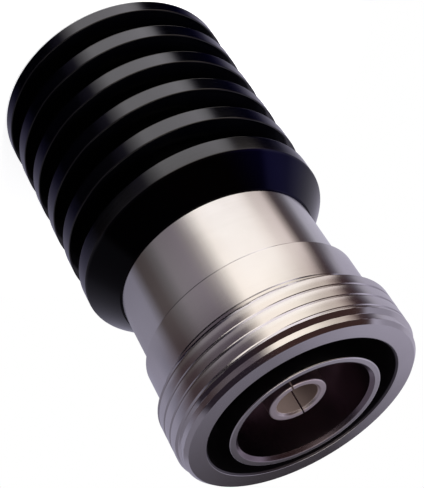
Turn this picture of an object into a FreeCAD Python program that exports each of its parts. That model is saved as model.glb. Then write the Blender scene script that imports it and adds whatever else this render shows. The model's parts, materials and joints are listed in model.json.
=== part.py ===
import FreeCAD, Part

import math
import os

from FreeCAD import Vector

# Coaxial termination with a large threaded socket interface on a ring-finned heat sink.
# Millimetres. The axis is Z, the origin is the centre of the flat back face of the
# heat sink, and the connector's open end points up.

# Heat sink
sink_d = 31.1            # over the fins
fin_count = 6
fin_t = 2.14
fin_gap = 3.22
back_edge = 0.35         # larger chamfer round the back face
cone_len = 3.51          # bevel from the first fin up to the neck
nose_land = 0.18         # flat left outside the neck at the tip of the bevel
end_wall = 5.4           # solid end behind the load chamber
chamber_wall = 2.2       # between the load chamber and the bottom of the ring grooves
pocket_depth = 2.1       # recess in the chamber floor for the collet's hub
seat_web = 0.6           # metal between the front groove and the seat of the load body
spigot_wall = 1.8        # part of the load body that screws into the heat sink

# Coaxial line, 16 mm over 7 mm for 50 ohms in air
line_ohms = 50.0
free_space_ohms = 59.96  # impedance of an air line for each unit of ln(D/d)
line_d = 16.0
socket_d = 7.0
bead_neck_d = 6.06       # inner conductor where it passes through the bead

# Threaded interface
thread_d = 29.0          # major diameter, 1.5 mm pitch
thread_len = 6.65
face_chamfer = 0.85
recess_gap = 2.31        # ring-shaped gap round the outer contact
recess_depth = 8.0
recess_edge = 0.2
sleeve_wall = 1.12
sleeve_proud = 0.5       # outer contact stands in front of the shell's face
sleeve_outer_edge = 0.1
sleeve_inner_edge = 0.4
web_t = 1.6              # floor of the recess
flange_step = 0.88       # flange of the outer contact outside its tube
flange_t = 1.2
skirt_wall = 1.3         # skirt that screws into the load body
neck_wall = 1.12         # load body round the skirt
neck_len = 8.95
collar_step = 0.83       # collar of the shell stands out from the neck
collar_len = 5.95
collar_edge = 0.25
thread_relief_depth = 0.35  # turned into the collar behind the thread
thread_relief_w = 0.6
thread_rear_edge = 0.45
bead_len = 4.5
ring_t = 2.3             # ring that clamps the bead
ring_slot_w = 1.6
ring_slot_depth = 1.0

# Centre socket
socket_set_back = 1.85   # tip behind the face of the outer contact
socket_bore_d = 5.0
socket_bore_depth = 8.8
socket_bore_edge = 0.25
socket_edge = 0.15
slot_count = 2           # one saw cut right across the tip
slot_w = 0.18
slot_len = 8.4
slot_turn = -3.0         # first slot, degrees from the -Y side
drill_half_angle = 59.0

# Resistor and what holds it
rod_d = 5.5
cap_wall = 0.3
cap_len = 3.6
stud_d = 3.0
stud_web = 0.8           # metal between the socket's bore and the stud's hole
finger_slot_count = 4
finger_slot_w = 0.4
cup_wall = 0.6           # solid end of the cup that takes the cap
finger_wall = 0.6        # sprung fingers of the contact round the cap
disc_t = 1.6             # flange of the collet that earths the rod
hub_wall = 1.1
hub_len = 2.5
spring_t = 0.5
spring_gap = 0.9         # height left for the disc spring
spring_edge = 0.3        # inner and outer running clearance of the disc spring
liner_seat = 0.3         # end of the liner outside the load body's bore
taper_steps = 6          # cones that the liner's exponential bore is turned in

# Seals and clearances
seal_groove_w = 1.0
seal_groove_depth = 0.7
sink_seal_depth = 0.8
sink_seal_w = 1.1
seal_round = 0.25        # flattened corners of a squeezed rubber ring
slip = 0.03              # radial clearance of turned fits
end_gap = 0.2            # axial room behind threads and plugs

# Radii that follow
sink_r = sink_d / 2
line_r = line_d / 2
chamber_r = line_r + liner_seat
root_r = chamber_r + chamber_wall
socket_r = socket_d / 2
bead_neck_r = bead_neck_d / 2
thread_r = thread_d / 2
sleeve_r = line_r + sleeve_wall
recess_r = sleeve_r + recess_gap
bead_r = sleeve_r + flange_step
skirt_r = bead_r + skirt_wall
neck_r = skirt_r + neck_wall
collar_r = neck_r + collar_step
nose_r = neck_r + nose_land
spigot_r = line_r + spigot_wall
bore_r = socket_bore_d / 2
rod_r = rod_d / 2
cap_r = rod_r + cap_wall
stud_r = stud_d / 2
hub_r = cap_r + slip + hub_wall
pocket_r = hub_r + spring_edge
finger_r = cap_r + slip + finger_wall
mouth_r = rod_r * math.exp(line_ohms / free_space_ohms)

# Heights that follow
fin_pitch = fin_t + fin_gap
z_last_fin = (fin_count - 1) * fin_pitch
z_sink_front = z_last_fin + fin_t + cone_len
z_joint = z_sink_front + neck_len
z_thread_back = z_joint + collar_len
z_face = z_thread_back + thread_len
z_sleeve = z_face + sleeve_proud
z_socket = z_sleeve - socket_set_back
z_recess = z_face - recess_depth
z_web_back = z_recess - web_t
z_bead_front = z_web_back - flange_t
z_bead_back = z_bead_front - bead_len
z_bore_end = z_socket - socket_bore_depth
z_bore_tip = z_bore_end - bore_r / math.tan(math.radians(drill_half_angle))
z_stud_hole = z_bore_tip - stud_web
z_stud_end = z_stud_hole - end_gap
z_skirt_end = z_bead_back - ring_t
z_seat = z_last_fin + seat_web
z_spigot_end = z_seat + end_gap
z_floor = end_wall + pocket_depth
z_disc_back = z_floor + spring_gap
z_liner_back = z_disc_back + disc_t
z_hub_end = z_disc_back - hub_len


def turned(outline):
    """Solid turned about Z from a closed outline of (radius, height) corners."""
    corners = [Vector(r, 0, z) for r, z in outline]
    face = Part.Face(Part.makePolygon(corners + corners[:1]))
    return face.revolve(Vector(0, 0, 0), Vector(0, 0, 1), 360)


def slots(count, width, reach, z_low, z_high, turn=0.0):
    """Radial saw cuts from the axis outwards, the first on the -Y side."""
    cuts = []
    for i in range(count):
        cut = Part.makeBox(width, reach, z_high - z_low, Vector(-width / 2, -reach, z_low))
        cut.rotate(Vector(0, 0, 0), Vector(0, 0, 1), turn + 360 * i / count)
        cuts.append(cut)
    return Part.makeCompound(cuts)


def sawn(body, cuts):
    """The body after the cuts, which leave it in one piece."""
    return body.cut(cuts).Solids[0]


def seal_ring(r_in, r_out, z_low, z_high):
    """Rubber ring squeezed into a groove: a rectangle that has lost its corners."""
    return turned([
        (r_in + seal_round, z_low),
        (r_out - seal_round, z_low),
        (r_out, z_low + seal_round),
        (r_out, z_high - seal_round),
        (r_out - seal_round, z_high),
        (r_in + seal_round, z_high),
        (r_in, z_high - seal_round),
        (r_in, z_low + seal_round),
    ])


def heat_sink():
    outline = [(0, 0), (sink_r - back_edge, 0), (sink_r, back_edge)]
    for i in range(fin_count):
        z_back = i * fin_pitch
        z_front = z_back + fin_t
        if i > 0:
            outline += [(root_r, z_back), (sink_r, z_back)]
        if i < fin_count - 1:
            outline += [(sink_r, z_front), (root_r, z_front)]
    outline += [
        (sink_r, z_last_fin + fin_t),
        (nose_r, z_sink_front),
        (spigot_r + slip + sink_seal_w, z_sink_front),
        (spigot_r + slip + sink_seal_w, z_sink_front - sink_seal_depth),
        (spigot_r + slip, z_sink_front - sink_seal_depth),
        (spigot_r + slip, z_seat),
        (chamber_r, z_seat),
        (chamber_r, z_floor),
        (pocket_r, z_floor),
        (pocket_r, end_wall),
        (0, end_wall),
    ]
    return turned(outline)


def load_body():
    return turned([
        (spigot_r, z_spigot_end),
        (spigot_r, z_sink_front),
        (neck_r, z_sink_front),
        (neck_r, z_joint),
        (skirt_r + slip, z_joint),
        (skirt_r + slip, z_skirt_end - end_gap),
        (line_r, z_skirt_end - end_gap),
        (line_r, z_spigot_end),
    ])


def connector_shell():
    """Front shell with the screw thread's major diameter and the ring-shaped recess."""
    groove_r = skirt_r - seal_groove_depth
    relief_r = collar_r - thread_relief_depth
    return turned([
        (recess_r + recess_edge, z_face),
        (thread_r - face_chamfer, z_face),
        (thread_r, z_face - face_chamfer),
        (thread_r, z_thread_back + thread_rear_edge),
        (thread_r - thread_rear_edge, z_thread_back),
        (relief_r, z_thread_back),
        (relief_r, z_thread_back - thread_relief_w),
        (collar_r, z_thread_back - thread_relief_w - thread_relief_depth),
        (collar_r, z_joint + collar_edge),
        (collar_r - collar_edge, z_joint),
        (groove_r, z_joint),
        (groove_r, z_joint - seal_groove_w),
        (skirt_r, z_joint - seal_groove_w),
        (skirt_r, z_skirt_end),
        (bead_r + slip, z_skirt_end),
        (bead_r + slip, z_web_back),
        (sleeve_r + slip, z_web_back),
        (sleeve_r + slip, z_recess),
        (recess_r, z_recess),
        (recess_r, z_face - recess_edge),
    ])


def outer_contact_sleeve():
    """Tube that is the mating face of the outer conductor, flanged behind the shell's web."""
    return turned([
        (line_r + sleeve_inner_edge, z_sleeve),
        (sleeve_r - sleeve_outer_edge, z_sleeve),
        (sleeve_r, z_sleeve - sleeve_outer_edge),
        (sleeve_r, z_web_back),
        (bead_r, z_web_back),
        (bead_r, z_bead_front),
        (line_r, z_bead_front),
        (line_r, z_sleeve - sleeve_inner_edge),
    ])


def centre_socket():
    """Sprung female contact: bored and slotted tip, necked down where the bead grips it."""
    body = turned([
        (0, z_bore_tip),
        (bore_r, z_bore_end),
        (bore_r, z_socket - socket_bore_edge),
        (bore_r + socket_bore_edge, z_socket),
        (socket_r - socket_edge, z_socket),
        (socket_r, z_socket - socket_edge),
        (socket_r, z_bead_front),
        (bead_neck_r, z_bead_front),
        (bead_neck_r, z_bead_back),
        (stud_r + slip, z_bead_back),
        (stud_r + slip, z_stud_hole),
        (0, z_stud_hole),
    ])
    return sawn(body, slots(slot_count, slot_w, socket_d, z_socket - slot_len, z_socket + 1, slot_turn))


def insulator_bead():
    return turned([
        (bead_neck_r + slip, z_bead_back),
        (bead_r, z_bead_back),
        (bead_r, z_bead_front),
        (bead_neck_r + slip, z_bead_front),
    ])


def bead_clamp_ring():
    """Screwed ring behind the bead, with two slots for a pin spanner."""
    ring = turned([
        (line_r, z_skirt_end),
        (bead_r, z_skirt_end),
        (bead_r, z_bead_back),
        (line_r, z_bead_back),
    ])
    z_top = z_skirt_end + ring_slot_depth
    return sawn(ring, slots(2, ring_slot_w, bead_r + 1, z_skirt_end - 1, z_top, 90.0))


def resistor_contact():
    """Rear half of the inner conductor: a stud into the socket and four fingers on the rod's cap."""
    z_cup = z_spigot_end + cap_len + end_gap
    body = turned([
        (cap_r + slip, z_spigot_end),
        (finger_r, z_spigot_end),
        (finger_r, z_cup + cup_wall),
        (socket_r, z_cup + cup_wall),
        (socket_r, z_bead_back),
        (stud_r, z_bead_back),
        (stud_r, z_stud_end),
        (0, z_stud_end),
        (0, z_cup),
        (cap_r + slip, z_cup),
    ])
    return sawn(body, slots(finger_slot_count, finger_slot_w, socket_d, z_spigot_end - 1, z_cup))


def resistor_rod():
    """Ceramic rod whose film absorbs the power, from cap to cap."""
    z_low = z_liner_back - cap_len + cap_wall
    z_high = z_spigot_end + cap_len - cap_wall
    return Part.makeCylinder(rod_r, z_high - z_low, Vector(0, 0, z_low))


def end_cap(z_open, z_closed):
    """Metal cup pressed on one end of the rod."""
    z_inside = z_closed + math.copysign(cap_wall, z_open - z_closed)
    return turned([
        (0, z_closed),
        (cap_r, z_closed),
        (cap_r, z_open),
        (rod_r, z_open),
        (rod_r, z_inside),
        (0, z_inside),
    ])


def taper_liner():
    """Outer conductor round the film: its bore narrows by the law that keeps the line matched."""
    throat_r = cap_r + slip
    outer_r = chamber_r - slip
    height = z_spigot_end - z_liner_back
    outline = [(outer_r, z_spigot_end), (outer_r, z_liner_back)]
    for i in range(taper_steps + 1):
        share = i / taper_steps
        outline.append((throat_r * (mouth_r / throat_r) ** share, z_liner_back + height * share))
    return turned(outline)


def ground_collet():
    """Flange that earths the rear cap to the heat sink, with a slotted hub behind it."""
    body = turned([
        (cap_r + slip, z_hub_end),
        (hub_r, z_hub_end),
        (hub_r, z_disc_back),
        (chamber_r - slip, z_disc_back),
        (chamber_r - slip, z_liner_back),
        (cap_r + slip, z_liner_back),
    ])
    return sawn(body, slots(finger_slot_count, finger_slot_w, hub_r + 1, z_hub_end - 1, z_disc_back, 45.0))


def disc_spring():
    """Coned washer that keeps collet, liner and load body pressed together."""
    r_in = pocket_r
    r_out = chamber_r - spring_edge
    return turned([
        (r_in, z_disc_back - spring_t),
        (r_out, z_floor),
        (r_out, z_floor + spring_t),
        (r_in, z_disc_back),
    ])


def joint_seal():
    groove_r = skirt_r - seal_groove_depth
    return seal_ring(groove_r, skirt_r + slip, z_joint - seal_groove_w, z_joint)


def sink_seal():
    return seal_ring(spigot_r, spigot_r + slip + sink_seal_w, z_sink_front - sink_seal_depth, z_sink_front)


parts = {
    "heat_sink": heat_sink(),
    "load_body": load_body(),
    "connector_shell": connector_shell(),
    "outer_contact_sleeve": outer_contact_sleeve(),
    "centre_socket": centre_socket(),
    "insulator_bead": insulator_bead(),
    "bead_clamp_ring": bead_clamp_ring(),
    "resistor_contact": resistor_contact(),
    "resistor_rod": resistor_rod(),
    "front_end_cap": end_cap(z_spigot_end, z_spigot_end + cap_len),
    "rear_end_cap": end_cap(z_liner_back, z_liner_back - cap_len),
    "taper_liner": taper_liner(),
    "ground_collet": ground_collet(),
    "disc_spring": disc_spring(),
    "joint_seal": joint_seal(),
    "sink_seal": sink_seal(),
}

os.makedirs("parts", exist_ok=True)
for name, shape in parts.items():
    shape.exportStep("parts/" + name + ".step")
    print(name, shape.ShapeType, len(shape.Solids), shape.isValid(), round(shape.Volume, 1))
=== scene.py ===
import json
import math

import bmesh
import bpy
from mathutils import Matrix, Vector


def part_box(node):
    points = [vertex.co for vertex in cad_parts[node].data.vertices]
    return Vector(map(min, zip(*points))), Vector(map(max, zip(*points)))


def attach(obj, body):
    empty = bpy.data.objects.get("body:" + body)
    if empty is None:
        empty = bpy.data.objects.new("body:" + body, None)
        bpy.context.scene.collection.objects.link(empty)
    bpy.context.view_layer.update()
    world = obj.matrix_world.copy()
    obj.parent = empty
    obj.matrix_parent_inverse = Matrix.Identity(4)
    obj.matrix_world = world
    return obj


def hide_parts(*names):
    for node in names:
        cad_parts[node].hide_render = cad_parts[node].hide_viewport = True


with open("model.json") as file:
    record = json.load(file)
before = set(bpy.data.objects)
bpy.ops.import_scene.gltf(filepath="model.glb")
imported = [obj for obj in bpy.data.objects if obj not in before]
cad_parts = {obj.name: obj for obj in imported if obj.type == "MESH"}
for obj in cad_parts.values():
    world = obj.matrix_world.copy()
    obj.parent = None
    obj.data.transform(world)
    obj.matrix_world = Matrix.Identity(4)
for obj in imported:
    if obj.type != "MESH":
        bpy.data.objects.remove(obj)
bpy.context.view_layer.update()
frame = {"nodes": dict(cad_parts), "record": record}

mm = 0.001

# Sizes in millimetres. The first are read from the construction model.


def reach(node):
    """Outer radius, lowest and highest height of a construction piece."""
    low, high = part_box(node)
    return high.x / mm, low.z / mm, high.z / mm


mounts = {mount["name"]: mount for mount in frame["record"]["mounts"]}
sink_r, z_back, z_sink_front = reach("heat_sink")
neck_r, z_spigot_end, z_joint = reach("load_body")
thread_r, z_skirt_end, z_face = reach("connector_shell")
flange_r, z_flange_back, z_sleeve = reach("outer_contact_sleeve")
socket_r, z_socket_back, z_socket = reach("centre_socket")
bead_r, _, z_bead_front = reach("insulator_bead")
bore_r = mounts["centre_bore"]["dims"]["r_mm"]

# Heat sink
fin_count = 6
fin_t = 2.14
fin_pitch = 5.36
groove_r = 10.5
fin_edge = 0.12            # broken edges of the fins
back_edge = 0.35
nose_land = 0.18           # flat outside the neck at the tip of the bevel
bevel_back = 3.7           # behind that tip, where the bevel's own finish and its painted blue reflection start
bevel_full = 3.2           # and where it is complete
bevel_metallic = 0.85      # dulls the bevel, the fins have none
blue_reflection_x = (-6.0, -11.5)     # across the axis, where the painted blue reflection on one side of the bevel fades in
blue_reflection_y = (0.0, -8.0)
chamber_r = 8.3
chamber_floor = 7.5
pocket_r = 4.48
end_wall = 5.4
spigot_seat_r = 9.83
seat_height = 27.4
seal_groove_r = 10.93
seal_groove_floor = 31.65

# Body and connector
line_r = 8.0
spigot_r = 9.8
skirt_r = 11.3
skirt_floor = 36.2
slip = 0.03
collar_r = 13.25
collar_edge = 0.25
z_thread_back = 47.35
face_chamfer = 0.85
recess_r = 11.43
recess_floor = 46.0
recess_edge = 0.2
web_back = 44.4
joint_groove_r = 10.6
joint_groove_back = 40.4
sleeve_r = 9.12
sleeve_outer_edge = 0.1
sleeve_inner_edge = 0.4

# Coupling thread
thread_pitch = 1.5
thread_depth = 0.32
front_flank = 0.24         # run of a groove's wall that faces the front
rear_flank = 0.09          # and of the steeper one that faces the collar
crest_crown = 0.02
thread_start = 0.4         # share of a turn that places the first groove
lead_drop = 0.43           # first crest, cut down below the others
lead_end = 1.075           # where it ends, behind the face
lead_slope = 0.82          # rise for each length from there to the full crests
rear_chamfer = 0.45
relief_depth = 0.35        # turned into the collar behind the thread
relief_w = 0.6
relief_step = 0.1          # small bevel where the collar drops to the relief's cone
thread_rows = 50           # rows of faces in one pitch, so that they meet both walls' corners

# Centre socket
socket_bore_edge = 0.25
socket_edge = 0.15
bead_neck_r = 3.03
stud_hole_r = 1.53
socket_bore_floor = 43.85
socket_drill_tip = 42.35
stud_hole_end = 41.55
slot_count = 2
slot_w = 0.18
slot_end = 44.25
slot_turn = -3.0           # degrees round the axis

# Roundings that the construction model leaves sharp
fine_round = 0.04          # centre socket
light_round = 0.05         # recess and joint line
nose_round = 0.06          # tip of the bevel
soft_round = 0.08          # neck and contact ring
relief_fillet = 0.1
recess_fillet = 0.2

# Meshing
round_steps = 4            # faces across a rounded edge
hold = 0.06                # point that keeps the shading straight beside a rounded edge
fine_turn = 256            # faces round a large turned piece
small_turn = 128
sharp_angle = 28           # degrees, above which an edge isn't shaded smooth
seam = 2e-7                # metres, within which a seam's vertices join
speck = 1e-8               # metres, below which an edge is dissolved


class Socket:
    """An output of a node. Arithmetic on it adds Math nodes to its graph."""

    def __init__(self, graph, link):
        self.graph = graph
        self.link = link

    def __add__(self, other):
        return self.graph.math("ADD", self, other)

    def __radd__(self, other):
        return self.graph.math("ADD", other, self)

    def __sub__(self, other):
        return self.graph.math("SUBTRACT", self, other)

    def __rsub__(self, other):
        return self.graph.math("SUBTRACT", other, self)

    def __mul__(self, other):
        return self.graph.math("MULTIPLY", self, other)

    def __rmul__(self, other):
        return self.graph.math("MULTIPLY", other, self)

    def __truediv__(self, other):
        return self.graph.math("DIVIDE", self, other)

    def __rtruediv__(self, other):
        return self.graph.math("DIVIDE", other, self)

    def __pow__(self, other):
        return self.graph.math("POWER", self, other)

    def __rpow__(self, other):
        return self.graph.math("POWER", other, self)

    def __abs__(self):
        return self.graph.math("ABSOLUTE", self)


class Graph:
    """A tree of nodes while it is written."""

    def __init__(self, tree):
        self.tree = tree

    def node(self, kind, settings=None, sockets=None, out=0):
        """Adds a node: its settings first, then the values or links of its sockets."""
        node = self.tree.nodes.new(kind)
        for name, value in (settings or {}).items():
            if name == "stops":
                self.stops(node.color_ramp, value)
            else:
                setattr(node, name, value)
        for name, value in (sockets or {}).items():
            if isinstance(value, Socket):
                self.tree.links.new(value.link, node.inputs[name])
            else:
                node.inputs[name].default_value = value
        if isinstance(out, tuple):
            return [Socket(self, node.outputs[name]) for name in out]
        return Socket(self, node.outputs[out]) if len(node.outputs) else node

    def stops(self, ramp, stops):
        for _ in range(len(stops) - len(ramp.elements)):
            ramp.elements.new(1.0)
        for element, (place, colour) in zip(ramp.elements, stops):
            element.position = place
            element.color = (*colour, 1.0)

    def math(self, operation, *values):
        return self.node("ShaderNodeMath", {"operation": operation}, dict(enumerate(values)))

    def between(self, value, least, most):
        """The value, held within two limits."""
        return self.math("MINIMUM", self.math("MAXIMUM", value, least), most)

    def mix(self, share, first, second):
        """Colour between two colours."""
        return self.node(
            "ShaderNodeMix", {"data_type": "RGBA"}, {0: share, 6: first, 7: second}, 2
        )

    def vector(self, x, y, z):
        return self.node("ShaderNodeCombineXYZ", None, {0: x, 1: y, 2: z})

    def parts(self, vector):
        return self.node("ShaderNodeSeparateXYZ", None, {0: vector}, ("X", "Y", "Z"))

    def fade(self, value, start, end):
        """Smooth step from 0 at start to 1 at end."""
        return self.node(
            "ShaderNodeMapRange",
            {"interpolation_type": "SMOOTHSTEP"},
            {"Value": value, "From Min": start, "From Max": end},
        )

    def fade_mm(self, value, start, end):
        """The same over a length that is given in millimetres."""
        return self.fade(value, start * mm, end * mm)


def off_axis(x, y):
    """Distance from the object's axis."""
    return (x * x + y * y) ** 0.5


# Turning, threading and sawing


def modelling_tree(name, inputs):
    """Geometry node tree with named inputs. Gives its graph and the inputs as sockets."""
    tree = bpy.data.node_groups.new(name, "GeometryNodeTree")
    tree.interface.new_socket("Geometry", in_out="INPUT", socket_type="NodeSocketGeometry")
    for label, kind in inputs.items():
        tree.interface.new_socket(label, in_out="INPUT", socket_type="NodeSocket" + kind)
    tree.interface.new_socket("Geometry", in_out="OUTPUT", socket_type="NodeSocketGeometry")
    graph = Graph(tree)
    labels = ("Geometry", *inputs)
    return graph, dict(zip(labels, graph.node("NodeGroupInput", out=labels)))


def finish_tree(graph, geometry, material):
    """Last nodes of every tree: real faces, closed seams and a material."""
    real = graph.node("GeometryNodeRealizeInstances", None, {"Geometry": geometry})
    closed = graph.node(
        "GeometryNodeMergeByDistance", None, {"Geometry": real, "Distance": seam}
    )
    painted = graph.node(
        "GeometryNodeSetMaterial", None, {"Geometry": closed, "Material": material}
    )
    graph.node("NodeGroupOutput", None, {0: painted})
    return graph.tree


def wrapped_sheet(graph, columns, rows):
    """Flat grid, with each vertex's share of the way round and of the way along."""
    sheet = graph.node(
        "GeometryNodeMeshGrid", None,
        {"Size X": 1.0, "Size Y": 1.0, "Vertices X": columns + 1, "Vertices Y": rows},
    )
    x, y, _ = graph.parts(graph.node("GeometryNodeInputPosition"))
    return sheet, x + 0.5, y + 0.5


def placed_round(graph, sheet, turn, radius, height):
    """Moves the grid's vertices to their radius and height on the axis."""
    angle = turn * math.tau
    x = graph.math("COSINE", angle) * radius
    y = graph.math("SINE", angle) * radius
    place = graph.vector(x, y, height)
    return graph.node("GeometryNodeSetPosition", None, {"Geometry": sheet, "Position": place})


def lathe(graph, outline, points, segments):
    """Turns the outline's vertices round the axis."""
    sheet, turn, along = wrapped_sheet(graph, segments, points)
    index = graph.math("ROUND", along * (points - 1))
    place = graph.node("GeometryNodeInputPosition")
    corner = graph.node(
        "GeometryNodeSampleIndex", {"data_type": "FLOAT_VECTOR"},
        {"Geometry": outline, "Value": place, "Index": index},
    )
    radius, _, height = graph.parts(corner)
    return placed_round(graph, sheet, turn, radius, height)


def turning_tree():
    graph, given = modelling_tree(
        "turned_piece", {"Points": "Int", "Segments": "Int", "Material": "Material"}
    )
    body = lathe(graph, given["Geometry"], given["Points"], given["Segments"])
    return finish_tree(graph, body, given["Material"])


def threading_tree():
    """The turned shell with its thread: crowned crests between narrow grooves.

    At each place the radius is the least of the thread, the lowered start and the two chamfers.
    """
    graph, given = modelling_tree("threaded_shell", {
        "Points": "Int", "Segments": "Int", "Crest Radius": "Float", "Pitch": "Float",
        "Depth": "Float", "Front Flank": "Float", "Rear Flank": "Float", "Crown": "Float",
        "Start": "Float", "Back": "Float", "Front": "Float", "Front Chamfer": "Float",
        "Rear Chamfer": "Float", "Lead Drop": "Float", "Lead End": "Float", "Lead Slope": "Float",
        "Turns": "Int", "Rows": "Int", "Material": "Material",
    })
    shell = lathe(graph, given["Geometry"], given["Points"], given["Segments"])
    rows = given["Rows"] * given["Turns"] + 1
    sheet, turn, along = wrapped_sheet(graph, given["Segments"], rows)
    pitch = given["Pitch"]
    climb = (turn + along * given["Turns"] - 1) * pitch + given["Back"]
    height = graph.between(climb, given["Back"], given["Front"])
    share = graph.math("FRACT", (height - given["Back"]) / pitch - turn + given["Start"] + 1)
    crest = given["Crest Radius"]
    off_crest = abs(share * 2 - 1)
    to_front = (share - 1) * pitch / given["Front Flank"] + 1
    to_rear = 1 - share * pitch / given["Rear Flank"]
    wall = graph.math("MAXIMUM", graph.math("MAXIMUM", to_front, to_rear), 0.0)
    ridge = crest - given["Depth"] * wall - given["Crown"] * off_crest * off_crest
    from_front = given["Front"] - height
    rise = graph.math("MAXIMUM", (from_front - given["Lead End"]) * given["Lead Slope"], 0.0)
    lead = crest - given["Lead Drop"] + rise
    front_cone = crest - given["Front Chamfer"] + from_front
    back_cone = crest - given["Rear Chamfer"] + height - given["Back"]
    radius = ridge
    for limit in (lead, front_cone, back_cone):
        radius = graph.math("MINIMUM", radius, limit)
    thread = placed_round(graph, sheet, turn, radius, height)
    both = graph.node("GeometryNodeJoinGeometry", None, {"Geometry": shell})
    graph.tree.links.new(thread.link, both.link.node.inputs["Geometry"])
    return finish_tree(graph, both, given["Material"])


def sawing_tree():
    """The turned socket with its saw cuts."""
    graph, given = modelling_tree("slotted_socket", {
        "Points": "Int", "Segments": "Int", "Slots": "Int", "Slot Width": "Float",
        "Slot End": "Float", "Reach": "Float", "Turn": "Float", "Material": "Material",
    })
    body = lathe(graph, given["Geometry"], given["Points"], given["Segments"])
    body = graph.node("GeometryNodeMergeByDistance", None, {"Geometry": body, "Distance": seam})
    reach_out = given["Reach"]
    blade = graph.node(
        "GeometryNodeMeshCube", None,
        {"Size": graph.vector(given["Slot Width"], reach_out, reach_out * 4)},
    )
    blade = graph.node("GeometryNodeTransform", None, {
        "Geometry": blade,
        "Translation": graph.vector(0.0, reach_out * -0.5, reach_out * 2 + given["Slot End"]),
    })
    stations = graph.node(
        "GeometryNodeMeshLine", None, {"Count": given["Slots"], "Offset": (0.0, 0.0, 0.0)}
    )
    index = graph.node("GeometryNodeInputIndex")
    turn = (index / given["Slots"] + given["Turn"]) * math.tau
    cuts = graph.node("GeometryNodeInstanceOnPoints", None, {
        "Points": stations, "Instance": blade, "Rotation": graph.vector(0.0, 0.0, turn),
    })
    cuts = graph.node("GeometryNodeRealizeInstances", None, {"Geometry": cuts})
    sawn = graph.node(
        "GeometryNodeMeshBoolean", {"operation": "DIFFERENCE", "solver": "EXACT"},
        {"Mesh 1": body, "Mesh 2": cuts, "Self Intersection": True},
    )
    return finish_tree(graph, sawn, given["Material"])


def rounded(corners, closed):
    """Outline of a turned piece from (radius, height) or (radius, height, rounding) corners."""
    places = [Vector((corner[0], corner[1])) for corner in corners]
    outline = []
    for i, corner in enumerate(corners):
        here = places[i]
        rounding = corner[2] if len(corner) > 2 else 0.0
        if rounding == 0.0:
            outline.append(here)
            continue
        before = places[i - 1] - here
        after = places[(i + 1) % len(places)] - here
        half = before.angle(after) / 2
        run = rounding / math.tan(half)
        middle = (before.normalized() + after.normalized()).normalized()
        centre = here + middle * rounding / math.sin(half)
        start = here + before.normalized() * run
        end = here + after.normalized() * run
        if before.length > run + 3 * hold:
            outline.append(start + before.normalized() * hold)
        first = start - centre
        sweep = first.angle_signed(end - centre)
        for step in range(round_steps + 1):
            spoke = first.copy()
            spoke.rotate(Matrix.Rotation(-sweep * step / round_steps, 2))
            outline.append(centre + spoke)
        if after.length > run + 3 * hold:
            outline.append(end + after.normalized() * hold)
    return outline + outline[:1] if closed else outline


def outline_mesh(name, outline):
    mesh = bpy.data.meshes.new(name)
    points = [(r * mm, 0.0, z * mm) for r, z in outline]
    mesh.from_pydata(points, [(i, i + 1) for i in range(len(points) - 1)], [])
    return mesh


def worked(name, corners, tree, material, closed=True, **sizes):
    """A piece of the object: its outline put through a modelling tree and kept as a plain mesh."""
    outline = rounded(corners, closed)
    piece = bpy.data.objects.new(name, outline_mesh(name, outline))
    bpy.context.scene.collection.objects.link(piece)
    modifier = piece.modifiers.new("work", "NODES")
    modifier.node_group = tree
    values = {"Points": len(outline), "Material": material, **sizes}
    for item in tree.interface.items_tree:
        if item.in_out == "INPUT" and item.name in values:
            modifier[item.identifier] = values[item.name]
    piece.update_tag()
    bpy.context.view_layer.update()
    result = bpy.data.meshes.new_from_object(
        piece.evaluated_get(bpy.context.evaluated_depsgraph_get())
    )
    piece.modifiers.remove(modifier)
    shape = bmesh.new()
    shape.from_mesh(result)
    bmesh.ops.dissolve_degenerate(shape, dist=speck, edges=shape.edges)
    bmesh.ops.recalc_face_normals(shape, faces=shape.faces)
    shape.to_mesh(result)
    shape.free()
    result.shade_smooth()
    result.set_sharp_from_angle(angle=math.radians(sharp_angle))
    piece.data = result
    return piece


def seated(piece, node):
    """The piece stands for its construction node."""
    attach(piece, "root")
    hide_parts(node)


# Finishes


inside_fade = 0.03           # over which a polished finish goes over into the darker one inside


def finish(name, metallic, **constants):
    """New material: its graph, its shader node and its place on the piece."""
    material = bpy.data.materials.new(name)
    material.use_nodes = True
    graph = Graph(material.node_tree)
    shader = material.node_tree.nodes["Principled BSDF"]
    shader.inputs["Metallic"].default_value = metallic
    for label, value in constants.items():
        shader.inputs[label.replace("_", " ")].default_value = value
    place = graph.node("ShaderNodeTexCoord", out="Object")
    return material, graph, shader, place


def feed(graph, shader, **links):
    for label, value in links.items():
        graph.tree.links.new(value.link, shader.inputs[label.replace("_", " ")])


def turning_marks(graph, place, per_mm):
    """Rings left by the tool: they change along the axis and across the faces.

    Round the object they hardly change: across is how many times they do in a metre.
    """
    across = 25.0
    x, y, z = graph.parts(place)
    rings = graph.vector(off_axis(x, y) * (per_mm / mm), z * (per_mm / mm), x * across)
    return graph.node(
        "ShaderNodeTexNoise", None,
        {"Vector": rings, "Scale": 1.0, "Detail": 3.0, "Roughness": 0.6}, "Fac",
    )


def mottle(graph, place, size_mm, detail=3.0):
    """Patches of about a size, in millimetres."""
    scale = 1.0 / (size_mm * mm)
    return graph.node(
        "ShaderNodeTexNoise", None,
        {"Vector": place, "Scale": scale, "Detail": detail, "Roughness": 0.55}, "Fac",
    )


def darker_inside(graph, place, radius, inside, colour, roughness):
    """Darker, duller faces nearer the axis than a radius: painted shade in the shell's recess and
    the contact ring's bore, a dull brown in the centre socket's bore.
    """
    x, y, _ = graph.parts(place)
    share = graph.fade_mm(off_axis(x, y), radius + inside_fade, radius)
    inside_colour, dull_metallic, dull_roughness = inside
    colour = graph.mix(share, colour, (*inside_colour, 1.0))
    roughness = roughness + share * (dull_roughness - roughness)
    return colour, roughness, 1 - share * (1 - dull_metallic)


def bump(graph, depth, height):
    """Bump of a depth in millimetres."""
    return graph.node(
        "ShaderNodeBump", None, {"Strength": 1.0, "Distance": depth * mm, "Height": height}
    )


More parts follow.
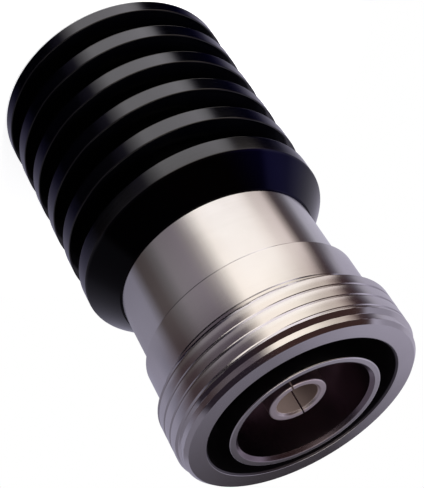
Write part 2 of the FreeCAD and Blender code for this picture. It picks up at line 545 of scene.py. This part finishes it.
def turned_metal(name, pale, deep, rough, spread, mark_depth, inner_r=0.0, inside=None):
    """Plated or bare turned metal: two tones, ring marks in its gloss and its surface.

    Within inner_r it has the colour, metallic share and roughness that inside gives.
    """
    material, graph, shader, place = finish(name, 1.0)
    marks_per_mm, cloud_mm = 5.0, 6.0
    marks = turning_marks(graph, place, marks_per_mm)
    cloud = mottle(graph, place, cloud_mm)
    tone = graph.fade(cloud * 0.7 + marks * 0.3, 0.3, 0.7)
    roughness = rough + (marks - 0.5) * spread + (cloud - 0.5) * spread
    colour = graph.mix(tone, (*deep, 1.0), (*pale, 1.0))
    if inside:
        colour, roughness, metallic = darker_inside(graph, place, inner_r, inside, colour, roughness)
        feed(graph, shader, Metallic=metallic)
    feed(graph, shader, Base_Color=colour, Roughness=roughness,
         Normal=bump(graph, mark_depth, marks))
    return material


def dull_surface(name, pale, deep, rough, grain_mm, grain_depth):
    """Non-metal with a fine grain: two tones, uneven gloss and a slight relief."""
    material, graph, shader, place = finish(name, 0.0)
    grain = mottle(graph, place, grain_mm, 5.0)
    cloud = mottle(graph, place, grain_mm * 12.0)
    tone = graph.fade(cloud * 0.6 + grain * 0.4, 0.3, 0.7)
    feed(graph, shader, Base_Color=graph.mix(tone, (*deep, 1.0), (*pale, 1.0)),
         Roughness=rough + (grain - 0.5) * 0.1, Normal=bump(graph, grain_depth, grain))
    return material


def black_anodised():
    """Dyed oxide on turned aluminium: black, satin, duller on the bevel, with a painted blue
    reflection on one side of it.
    """
    material, graph, shader, place = finish("black_anodised", 0.0, IOR=1.6)
    marks_per_mm, grain_mm, cloud_mm, mark_depth = 6.0, 0.12, 5.0, 0.0012
    marks = turning_marks(graph, place, marks_per_mm)
    grain = mottle(graph, place, grain_mm, 2.0)
    tone = graph.fade(marks * 0.5 + mottle(graph, place, cloud_mm) * 0.5, 0.3, 0.7)
    x, y, z = graph.parts(place)
    bevel = graph.fade_mm(z, z_sink_front - bevel_back, z_sink_front - bevel_full)
    painted_blue_reflection = bevel * graph.fade_mm(x, *blue_reflection_x) * graph.fade_mm(y, *blue_reflection_y)
    dye_and_blue_reflection = graph.mix(tone, (0.0003, 0.0003, 0.0007, 1.0), (0.0009, 0.0009, 0.0016, 1.0))
    # painted blue reflection on one side of the bevel, mixed into the dye
    dye_and_blue_reflection = graph.mix(painted_blue_reflection, dye_and_blue_reflection, (0.0015, 0.001, 0.024, 1.0))
    feed(graph, shader, Base_Color=dye_and_blue_reflection, Metallic=bevel * bevel_metallic,
         Roughness=0.08 + marks * 0.05 + grain * 0.03,
         Normal=bump(graph, mark_depth, marks + grain * 0.6))
    return material


finishes = {
    "black_anodised": black_anodised(),
    "bright_plated_brass": turned_metal(
        "bright_plating", pale=(0.70, 0.68, 0.675), deep=(0.66, 0.635, 0.63),
        rough=0.13, spread=0.06, mark_depth=0.0006,
        # within the recess it is darker: painted shade
        inner_r=recess_r + recess_edge - inside_fade, inside=((0.12, 0.11, 0.12), 1.0, 0.4),
    ),
    "silver_plated_brass": turned_metal(
        "silver_plated_brass", pale=(0.74, 0.72, 0.71), deep=(0.66, 0.63, 0.62),
        rough=0.16, spread=0.08, mark_depth=0.0008,
        # within the ring's bore it is darker: painted shade
        inner_r=line_r + sleeve_inner_edge, inside=((0.28, 0.23, 0.25), 1.0, 0.24),
    ),
    "silver_plated_bronze": turned_metal(
        "silver_plated_bronze", pale=(0.82, 0.74, 0.72), deep=(0.74, 0.65, 0.63),
        rough=0.34, spread=0.08, mark_depth=0.001,
        inner_r=bore_r + 0.01, inside=((0.25, 0.185, 0.165), 0.3, 0.6),
    ),
    "tinned_cap": turned_metal(
        "tinned_cap", pale=(0.72, 0.71, 0.70), deep=(0.6, 0.59, 0.58),
        rough=0.35, spread=0.1, mark_depth=0.002,
    ),
    "spring_steel": turned_metal(
        "spring_steel", pale=(0.45, 0.45, 0.47), deep=(0.36, 0.36, 0.39),
        rough=0.3, spread=0.1, mark_depth=0.001,
    ),
    "dark_insulator": dull_surface(
        "dark_insulator", pale=(0.19, 0.12, 0.15), deep=(0.14, 0.09, 0.115),
        rough=0.35, grain_mm=0.2, grain_depth=0.003,
    ),
    "resistor_film_ceramic": dull_surface(
        "resistor_film_ceramic", pale=(0.09, 0.08, 0.07), deep=(0.05, 0.045, 0.04),
        rough=0.6, grain_mm=0.1, grain_depth=0.004,
    ),
    "seal_rubber": dull_surface(
        "seal_rubber", pale=(0.025, 0.025, 0.025), deep=(0.015, 0.015, 0.015),
        rough=0.55, grain_mm=0.15, grain_depth=0.006,
    ),
}

for subpart in frame["record"]["subparts"]:
    node = frame["nodes"][subpart["node"]]
    node.data.materials.clear()
    node.data.materials.append(finishes[subpart["material_slot"]])


# Pieces


def finned_sink(turning):
    """One-piece heat sink: rings of fins, bevel up to the neck, chamber for the load."""
    corners = [(0.0, end_wall), (0.0, z_back), (sink_r - back_edge, z_back), (sink_r, back_edge)]
    for i in range(fin_count):
        back = i * fin_pitch
        front = back + fin_t
        if i > 0:
            corners += [(groove_r, back, fin_edge), (sink_r, back, fin_edge)]
        if i < fin_count - 1:
            corners += [(sink_r, front, fin_edge), (groove_r, front, fin_edge)]
    nose_r = neck_r + nose_land
    corners += [
        (sink_r, (fin_count - 1) * fin_pitch + fin_t, fin_edge),
        (nose_r, z_sink_front, nose_round),
        (seal_groove_r, z_sink_front),
        (seal_groove_r, seal_groove_floor),
        (spigot_seat_r, seal_groove_floor),
        (spigot_seat_r, seat_height),
        (chamber_r, seat_height),
        (chamber_r, chamber_floor),
        (pocket_r, chamber_floor),
        (pocket_r, end_wall),
    ]
    piece = worked("finned_heat_sink", corners, turning, finishes["black_anodised"],
                   closed=False, Segments=fine_turn)
    seated(piece, "heat_sink")


def plated_neck(turning):
    """Body between the heat sink and the connector."""
    piece = worked("plated_neck", [
        (spigot_r, z_spigot_end),
        (spigot_r, z_sink_front),
        (neck_r, z_sink_front, soft_round),
        (neck_r, z_joint, light_round),
        (skirt_r + slip, z_joint),
        (skirt_r + slip, skirt_floor),
        (line_r, skirt_floor),
        (line_r, z_spigot_end),
    ], turning, finishes["bright_plated_brass"], Segments=fine_turn)
    seated(piece, "load_body")


def threaded_shell(threading):
    """Front shell: collar, coupling thread, recess round the outer contact."""
    turns = math.ceil((z_face - z_thread_back) / thread_pitch) + 1
    z_relief = z_thread_back - relief_w - relief_depth
    piece = worked("threaded_shell", [
        (thread_r - face_chamfer, z_face),
        (recess_r + recess_edge, z_face, light_round),
        (recess_r, z_face - recess_edge, light_round),
        (recess_r, recess_floor, recess_fillet),
        (sleeve_r + slip, recess_floor),
        (sleeve_r + slip, web_back),
        (bead_r + slip, web_back),
        (bead_r + slip, z_skirt_end),
        (skirt_r, z_skirt_end),
        (skirt_r, joint_groove_back),
        (joint_groove_r, joint_groove_back),
        (joint_groove_r, z_joint),
        (collar_r - collar_edge, z_joint),
        (collar_r, z_joint + collar_edge),
        (collar_r, z_relief),
        (collar_r - relief_step, z_relief + relief_step),
        (collar_r - relief_depth, z_thread_back, relief_fillet),
        (thread_r - rear_chamfer, z_thread_back),
    ], threading, finishes["bright_plated_brass"], closed=False, Segments=fine_turn, **{
        "Crest Radius": thread_r * mm, "Pitch": thread_pitch * mm, "Depth": thread_depth * mm,
        "Front Flank": front_flank * mm, "Rear Flank": rear_flank * mm, "Crown": crest_crown * mm,
        "Start": thread_start, "Back": z_thread_back * mm, "Front": z_face * mm,
        "Front Chamfer": face_chamfer * mm, "Rear Chamfer": rear_chamfer * mm,
        "Lead Drop": lead_drop * mm, "Lead End": lead_end * mm, "Lead Slope": lead_slope,
        "Turns": turns, "Rows": thread_rows,
    })
    seated(piece, "connector_shell")


def outer_contact(turning):
    """Ring that the plug's outer conductor butts against."""
    piece = worked("outer_contact_ring", [
        (line_r, z_sleeve - sleeve_inner_edge, soft_round),
        (line_r + sleeve_inner_edge, z_sleeve, soft_round),
        (sleeve_r, z_sleeve, sleeve_outer_edge),
        (sleeve_r, web_back),
        (flange_r, web_back),
        (flange_r, z_flange_back),
        (line_r, z_flange_back),
    ], turning, finishes["silver_plated_brass"], Segments=fine_turn)
    seated(piece, "outer_contact_sleeve")


def slotted_contact(sawing):
    """Centre socket: bored, slotted fingers, necked where the bead holds it."""
    piece = worked("slotted_socket", [
        (0.0, socket_drill_tip),
        (bore_r, socket_bore_floor),
        (bore_r, z_socket - socket_bore_edge, fine_round),
        (bore_r + socket_bore_edge, z_socket, fine_round),
        (socket_r, z_socket, socket_edge),
        (socket_r, z_bead_front),
        (bead_neck_r, z_bead_front),
        (bead_neck_r, z_socket_back),
        (stud_hole_r, z_socket_back),
        (stud_hole_r, stud_hole_end),
        (0.0, stud_hole_end),
    ], sawing, finishes["silver_plated_bronze"], closed=False, Segments=small_turn, **{
        "Slots": slot_count, "Slot Width": slot_w * mm, "Slot End": slot_end * mm,
        "Reach": socket_r * 1.5 * mm, "Turn": slot_turn / 360,
    })
    seated(piece, "centre_socket")


turning = turning_tree()
finned_sink(turning)
plated_neck(turning)
threaded_shell(threading_tree())
outer_contact(turning)
slotted_contact(sawing_tree())


# Studio: white round the object, a tent of soft panels that only its gloss sees


white = (1.0, 1.0, 1.0, 1.0)
world_light = (0.42, 0.42, 0.44, 1.0)

# Floor
floor_paper = (0.8, 0.8, 0.8, 1.0)
floor_glow = 0.75
floor_r = 40.0
floor_shadow_r = 22.0      # out to here the shadow is complete, at the rim it has run out

# Tent, in metres
tent_radius = 0.6
tent_centre = 0.04

# A level of the tent is the z of a direction from its middle. Over a band of levels, one light
# goes over into the next.
foot_band = (-0.815, -0.835)     # downwards, shade into the light at the foot
foot_side = (0.04, -0.02)        # which is only on the right: the same for x
fin_band = (-0.81, -0.765)       # upwards, the foot into what the fins reflect
plating_band = (-0.64, -0.618)   # into what the neck and the collar reflect
collar_band = (-0.59, -0.545)    # where the neck's light rises to the collar's
thread_band = (-0.522, -0.506)   # into what the thread reflects
room_band = (0.12, 0.24)         # into the room above the panels
top_band = (0.94, 0.965)         # into the light overhead
far_side_lift = 0.06             # rise of the plating's band opposite the camera
plating_turn = 0.0075            # share of a turn that the plating's panels are moved round
neck_gain = 0.93                 # strength of the plating's panels for the neck
collar_gain = 0.22               # and how much more for the collar

# Panels round the object, as degrees from the camera's side and colours: what the crests of
# the thread reflect, lower down what the collar and the neck reflect, and lowest the fins.
thread_panels = [
    (-180, (0.33, 0.32, 0.41)), (-118, (0.34, 0.325, 0.415)), (-104, (0.25, 0.24, 0.31)),
    (-88, (0.15, 0.125, 0.15)), (-77, (0.065, 0.045, 0.05)), (-66, (0.065, 0.045, 0.05)),
    (-54, (0.1, 0.08, 0.088)), (-38, (0.125, 0.105, 0.125)), (-18, (0.105, 0.083, 0.105)),
    (-8, (0.15, 0.125, 0.14)), (0, (0.7, 0.63, 0.57)), (8, (1.36, 1.25, 1.12)),
    (30, (1.38, 1.27, 1.14)), (42, (1.22, 1.13, 1.0)), (52, (1.0, 0.91, 0.81)),
    (64, (0.78, 0.69, 0.62)), (74, (0.7, 0.6, 0.54)), (83, (0.36, 0.28, 0.26)),
    (91, (0.05, 0.025, 0.03)), (99, (0.055, 0.035, 0.042)), (106, (0.16, 0.145, 0.18)),
    (113, (0.4, 0.38, 0.45)), (122, (0.48, 0.455, 0.56)), (180, (0.48, 0.455, 0.56)),
]
plating_panels = [
    (-180, (0.23, 0.22, 0.275)), (-140, (0.25, 0.24, 0.3)), (-98, (0.27, 0.26, 0.325)),
    (-90, (0.18, 0.17, 0.2)), (-82, (0.09, 0.075, 0.075)), (-70, (0.1, 0.085, 0.086)),
    (-58, (0.16, 0.15, 0.157)), (-48, (0.25, 0.23, 0.25)), (-26, (0.27, 0.24, 0.27)),
    (-18, (0.32, 0.29, 0.3)), (-10, (0.48, 0.44, 0.43)), (-2, (0.84, 0.79, 0.73)),
    (6, (1.24, 1.17, 1.09)), (20, (1.28, 1.23, 1.17)), (50, (1.24, 1.18, 1.12)),
    (60, (1.14, 1.06, 1.0)), (69, (0.95, 0.86, 0.82)), (82, (0.88, 0.78, 0.75)),
    (89, (0.42, 0.36, 0.34)), (96, (0.08, 0.06, 0.065)), (105, (0.1, 0.085, 0.095)),
    (113, (0.2, 0.19, 0.22)), (122, (0.42, 0.41, 0.48)), (136, (0.47, 0.455, 0.545)),
    (180, (0.47, 0.455, 0.545)),
]
fin_panels = [
    (-180, (0.25, 0.24, 0.32)), (-136, (0.25, 0.24, 0.34)), (-112, (0.13, 0.12, 0.21)),
    (-96, (0.03, 0.027, 0.07)), (-80, (0.0, 0.0, 0.004)), (-34, (0.002, 0.002, 0.008)),
    (-18, (0.08, 0.07, 0.12)), (-9, (0.85, 0.82, 0.87)), (2, (1.9, 1.85, 1.95)),
    (55, (2.0, 1.93, 2.08)), (64, (1.4, 1.36, 1.45)), (71, (0.15, 0.14, 0.18)),
    (76, (0.0, 0.0, 0.004)), (110, (0.0, 0.0, 0.02)), (121, (0.04, 0.036, 0.09)),
    (135, (0.28, 0.265, 0.36)), (150, (0.45, 0.43, 0.54)), (180, (0.46, 0.44, 0.56)),
]
shade = (0.006, 0.005, 0.006, 1.0)
brown_shade = (0.055, 0.028, 0.026, 1.0)
violet_shade = (0.022, 0.016, 0.024, 1.0)
back_shade = (0.03, 0.025, 0.028, 1.0)
back_lavender = (1.0, 0.95, 1.2, 1.0)
top_light = (1.5, 1.4, 1.32, 1.0)
foot_light = (0.95, 0.88, 0.82, 1.0)


def seen_directly(graph):
    """1 for the rays that show the background: from the camera, or by way of gloss or glass."""
    rays = graph.node(
        "ShaderNodeLightPath", out=("Is Camera Ray", "Is Glossy Ray", "Is Transmission Ray")
    )
    return graph.math("MAXIMUM", graph.math("MAXIMUM", rays[0], rays[1]), rays[2])


def white_world():
    world = bpy.data.worlds.new("studio")
    world.use_nodes = True
    bpy.context.scene.world = world
    graph = Graph(world.node_tree)
    background = world.node_tree.nodes["Background"]
    colour = graph.mix(seen_directly(graph), world_light, white)
    graph.tree.links.new(colour.link, background.inputs["Color"])


def studio_material(name):
    material = bpy.data.materials.new(name)
    material.use_nodes = True
    material.node_tree.nodes.clear()
    graph = Graph(material.node_tree)
    return material, graph, graph.node("ShaderNodeTexCoord", out="Object")


def surface(graph, shader):
    graph.node("ShaderNodeOutputMaterial", None, {"Surface": shader})


def studio_piece(name, make, height, material, **sizes):
    """Piece of the studio that one of bmesh's operators makes, centred at a height in metres."""
    mesh = bpy.data.meshes.new(name)
    shape = bmesh.new()
    make(shape, matrix=Matrix.Translation((0.0, 0.0, height)), **sizes)
    shape.to_mesh(mesh)
    shape.free()
    mesh.materials.append(material)
    piece = bpy.data.objects.new(name, mesh)
    bpy.context.scene.collection.objects.link(piece)
    return piece


def pale_floor():
    """Pale floor that runs out into the white background and keeps the object's soft shadow."""
    material, graph, place = studio_material("pale_floor")
    x, y, _ = graph.parts(place)
    blank = graph.fade_mm(off_axis(x, y), floor_shadow_r, floor_r)
    paper = graph.node("ShaderNodeBsdfDiffuse", None, {"Color": floor_paper})
    glow = graph.node("ShaderNodeEmission", None, {"Color": white, "Strength": floor_glow})
    lit = graph.node("ShaderNodeAddShader", None, {0: paper, 1: glow})
    plain = graph.node("ShaderNodeEmission", None, {"Color": white, "Strength": 1.0})
    shown = graph.node("ShaderNodeMixShader", None, {0: blank, 1: lit, 2: plain})
    shown = graph.node("ShaderNodeMixShader", None, {0: seen_directly(graph), 1: paper, 2: shown})
    surface(graph, shown)
    floor = studio_piece("floor", bmesh.ops.create_circle, 0.0, material,
                         cap_ends=True, segments=96, radius=floor_r * mm)
    floor.visible_glossy = False


def ring_of_panels(graph, turn, panels):
    stops = [(angle / 360 + 0.5, colour) for angle, colour in panels]
    return graph.node("ShaderNodeValToRGB", {"stops": stops}, {"Fac": turn})


def wall_behind(graph, x, level):
    """Wall opposite the camera: dark in its middle, lighter towards the top and both sides."""
    top_from, top_rise, top_most = 0.41, 2.0, 0.3
    left_most, right_rise, right_most = 0.22, 2.6, 0.36
    top = graph.between((level - top_from) * top_rise, 0.0, top_most)
    top = top * graph.fade(x, 0.5, 0.1)
    left = graph.fade(x, 0.3, 0.6) * left_most
    right = graph.between(x * -right_rise, 0.0, right_most)
    return graph.mix((top + left + right) * 0.9, back_shade, back_lavender)


def camera_side(graph, turn, level):
    """Dark room round the camera, narrower lower down, and its share. Its edge is in degrees."""
    middle, edge = 0.535, (108.0, 95.0)
    narrow_below, narrowing = 0.6, 108
    low = graph.math("MAXIMUM", narrow_below - level, 0.0)
    away = abs(turn - middle) * 360 + low * narrowing
    tint = graph.mix(graph.fade(turn, 0.42, 0.56), violet_shade, brown_shade)
    return tint, graph.fade(away, *edge)


def tent_material():
    """Panels by their direction from the object."""
    material, graph, place = studio_material("tent_panels")
    middle = (0.0, 0.0, tent_centre)
    spoke = graph.node("ShaderNodeVectorMath", {"operation": "SUBTRACT"}, {0: place, 1: middle})
    direction = graph.node("ShaderNodeVectorMath", {"operation": "NORMALIZE"}, {0: spoke})
    x, y, level = graph.parts(direction)
    turn = graph.math("ARCTAN2", x * -1.0, y * -1.0) / math.tau + 0.5
    near, near_share = camera_side(graph, turn, level)
    upper = graph.mix(near_share, wall_behind(graph, x, level), near)
    upper = graph.mix(graph.fade(level, *top_band), upper, top_light)
    foot_share = graph.fade(level, *foot_band) * graph.fade(x, *foot_side)
    foot = graph.mix(foot_share, shade, foot_light)
    fins = ring_of_panels(graph, turn, fin_panels)
    fins = graph.mix(graph.fade(level, *fin_band), foot, fins)
    plating = graph.node("ShaderNodeVectorMath", {"operation": "SCALE"}, {
        0: ring_of_panels(graph, turn - plating_turn, plating_panels),
        "Scale": neck_gain + graph.fade(level, *collar_band) * collar_gain,
    })
    crests = ring_of_panels(graph, turn, thread_panels)
    plating = graph.mix(graph.fade(level, *thread_band), plating, crests)
    off_middle = abs(turn * 2 - 1)
    lowered = level - off_middle * off_middle * far_side_lift
    colour = graph.mix(graph.fade(lowered, *plating_band), fins, plating)
    colour = graph.mix(graph.fade(level, *room_band), colour, upper)
    surface(graph, graph.node("ShaderNodeEmission", None, {"Color": colour, "Strength": 1.0}))
    return material


def studio_tent():
    tent = studio_piece("studio_tent", bmesh.ops.create_uvsphere, tent_centre, tent_material(),
                        u_segments=64, v_segments=32, radius=tent_radius)
    tent.visible_camera = False
    tent.visible_diffuse = False
    tent.visible_shadow = False


def soft_lamp(name, place, aim, size, power):
    lamp = bpy.data.lights.new(name, "AREA")
    lamp.shape = "DISK"
    lamp.size = size
    lamp.energy = power
    holder = bpy.data.objects.new(name, lamp)
    bpy.context.scene.collection.objects.link(holder)
    direction = Vector(aim) - Vector(place)
    holder.matrix_world = (
        Matrix.Translation(place) @ direction.to_track_quat("-Z", "Y").to_matrix().to_4x4()
    )
    holder.visible_glossy = False


def camera():
    """Camera where the photo was taken from: 35 degrees above the side, rolled by 149 degrees."""
    place = Vector((0.0, -109.65, 106.46)) * mm
    aim = Vector((-0.76, 0.11, 28.91)) * mm
    roll = math.radians(148.83)
    lens = bpy.data.cameras.new("camera")
    lens.lens = 82.15
    lens.clip_start = 0.005
    lens.clip_end = 10.0
    view = bpy.data.objects.new("camera", lens)
    bpy.context.scene.collection.objects.link(view)
    look = (aim - place).to_track_quat("-Z", "Y").to_matrix().to_4x4()
    view.matrix_world = Matrix.Translation(place) @ look @ Matrix.Rotation(roll, 4, "Z")
    bpy.context.scene.camera = view


white_world()
pale_floor()
studio_tent()
soft_lamp("key", place=(-0.15, -0.1, 0.35), aim=(0.0, 0.0, 0.02), size=0.2, power=1.6)
camera()
bpy.context.scene.view_settings.view_transform = "Standard"
